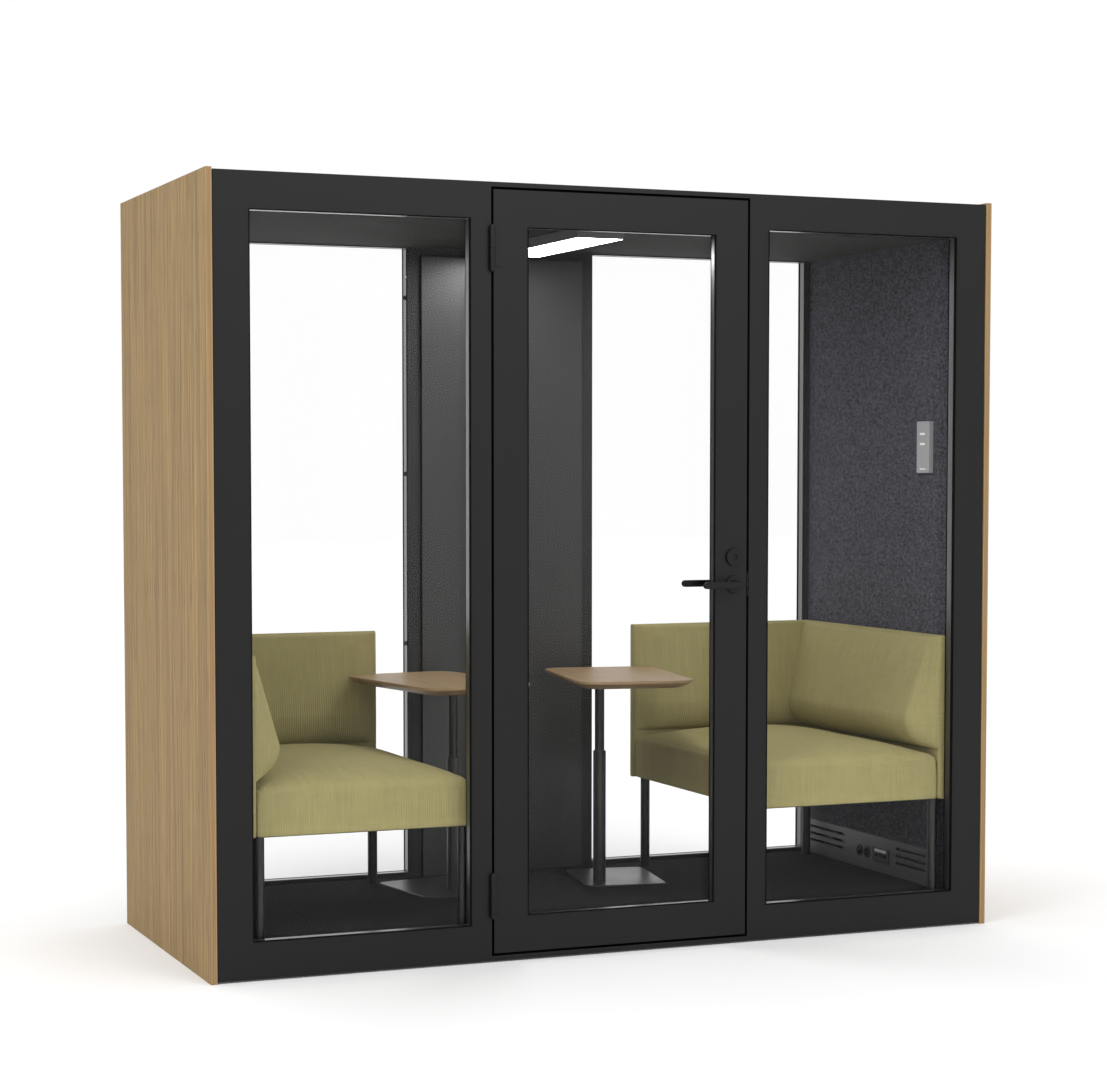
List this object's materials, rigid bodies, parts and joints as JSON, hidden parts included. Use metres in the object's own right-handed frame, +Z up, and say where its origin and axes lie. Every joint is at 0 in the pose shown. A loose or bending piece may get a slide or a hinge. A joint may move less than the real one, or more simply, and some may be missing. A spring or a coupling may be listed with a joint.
{
  "type": "acoustic office pod",
  "caption": "Enclosed acoustic meeting pod with glazed front and back, a hinged glass door with lever latch, facing padded sofas, laptop tables, ceiling light and fan fed air grille.",
  "frame": {"origin": "on the floor, under the middle of the whole box, with the outer lever counted in its depth", "axes": "+X to the right of someone who faces the door, +Y from the door side into the pod, +Z up"},
  "size_m": [2.44, 1.066, 2.2],
  "materials": {
    "oak_veneer": "matt lacquered oak veneer, fine straight vertical grain",
    "black_lacquer": "satin black lacquer",
    "clear_glass": "clear laminated acoustic glass",
    "grey_felt": "dark grey speckled acoustic felt",
    "carpet_pile": "mottled black loop pile carpet",
    "satin_panel": "satin dark grey panel",
    "black_rubber": "matt black rubber",
    "black_metal": "satin black powder coat",
    "steel": "brushed steel",
    "light_shell": "matt light grey",
    "diffuser": "opal white, lit from behind",
    "silver_plastic": "satin silver grey",
    "grille_grey": "satin dark grey",
    "black_plastic": "matt black",
    "olive_fabric": "olive green ribbed weave",
    "table_wood": "satin brown wood grain",
    "deck_board": "raw board"
  },
  "bodies": {
    "pod": {"side_panel_left": "oak_veneer", "side_panel_right": "oak_veneer", "front_frame": "black_lacquer", "back_frame": "black_lacquer", "front_glass_left": "clear_glass", "front_glass_right": "clear_glass", "back_glass_left": "clear_glass", "back_glass_right": "clear_glass", "wall_panel_left": "grey_felt", "wall_panel_right": "grey_felt", "carpet": "carpet_pile", "roof_panel": "satin_panel", "back_lining_panel": "satin_panel", "foot_front_left": "black_rubber", "foot_front_right": "black_rubber", "foot_back_left": "black_rubber", "foot_back_right": "black_rubber", "door_gasket": "black_rubber", "hinge_upper_frame": "black_metal", "hinge_lower_frame": "black_metal", "sofa_left_leg_frame": "black_metal", "sofa_right_leg_frame": "black_metal", "table_left_base": "black_metal", "table_right_base": "black_metal", "strike_plate": "steel", "led_housing": "light_shell", "led_diffuser": "diffuser", "control_housing": "silver_plastic", "grille_panel": "grille_grey", "socket_rear": "black_plastic", "socket_front": "black_plastic", "data_module": "black_plastic", "fan_frame": "black_plastic", "sofa_left_seat": "olive_fabric", "sofa_left_backrest": "olive_fabric", "sofa_left_side_panel": "olive_fabric", "sofa_right_seat": "olive_fabric", "sofa_right_backrest": "olive_fabric", "sofa_right_side_panel": "olive_fabric", "floor_deck": "deck_board"},
    "door": {"door_leaf": "black_lacquer", "door_glass": "clear_glass", "hinge_upper_door": "black_metal", "hinge_lower_door": "black_metal", "rosette_outer": "black_metal", "rosette_inner": "black_metal", "lock_rosette": "black_metal", "lock_case": "steel"},
    "handle": {"lever_outer": "black_metal", "lever_inner": "black_metal", "spindle": "steel"},
    "latch": {"latch_bolt": "steel"},
    "lock_turn": {"thumb_turn": "black_metal"},
    "button_upper": {"control_button_upper": "silver_plastic"},
    "button_lower": {"control_button_lower": "silver_plastic"},
    "fan": {"fan_rotor": "black_plastic"},
    "table_left_lift": {"table_left_column": "black_metal", "table_left_top": "table_wood"},
    "table_right_lift": {"table_right_column": "black_metal", "table_right_top": "table_wood"}
  },
  "joints": [
    {"name": "door_swing", "type": "hinge", "parent": "pod", "child": "door", "pos_m": [-0.403, -0.481, 1.101], "axis": [0, 0, -1], "range_deg": [0, 110]},
    {"name": "handle_turn", "type": "hinge", "parent": "door", "child": "handle", "pos_m": [0.355, -0.454, 1.06], "axis": [0, -1, 0], "range_deg": [0, 45], "stiffness_Nm_per_rad": 1.5, "springref_deg": -28.65},
    {"name": "latch_slide", "type": "slide", "parent": "door", "child": "latch", "axis": [-1, 0, 0], "range_m": [0, 0.0065]},
    {"name": "lock_turn_spin", "type": "hinge", "parent": "door", "child": "lock_turn", "pos_m": [0.355, -0.43, 1.139], "axis": [0, 1, 0], "range_deg": [0, 90]},
    {"name": "button_upper_press", "type": "slide", "parent": "pod", "child": "button_upper", "axis": [1, 0, 0], "range_m": [0, 0.0015], "stiffness_N_per_m": 800, "springref_m": -0.001},
    {"name": "button_lower_press", "type": "slide", "parent": "pod", "child": "button_lower", "axis": [1, 0, 0], "range_m": [0, 0.0015], "stiffness_N_per_m": 800, "springref_m": -0.001},
    {"name": "fan_spin", "type": "hinge", "parent": "pod", "child": "fan", "pos_m": [1.13, 0.325, 0.166], "axis": [1, 0, 0], "continuous": true},
    {"name": "table_left_raise", "type": "slide", "parent": "pod", "child": "table_left_lift", "axis": [0, 0, 1], "range_m": [0, 0.2]},
    {"name": "table_right_raise", "type": "slide", "parent": "pod", "child": "table_right_lift", "axis": [0, 0, 1], "range_m": [0, 0.2]}
  ],
  "couplings": [
    {"joint": "latch_slide", "follows": "handle_turn", "m_per_rad": 0.00827}
  ]
}
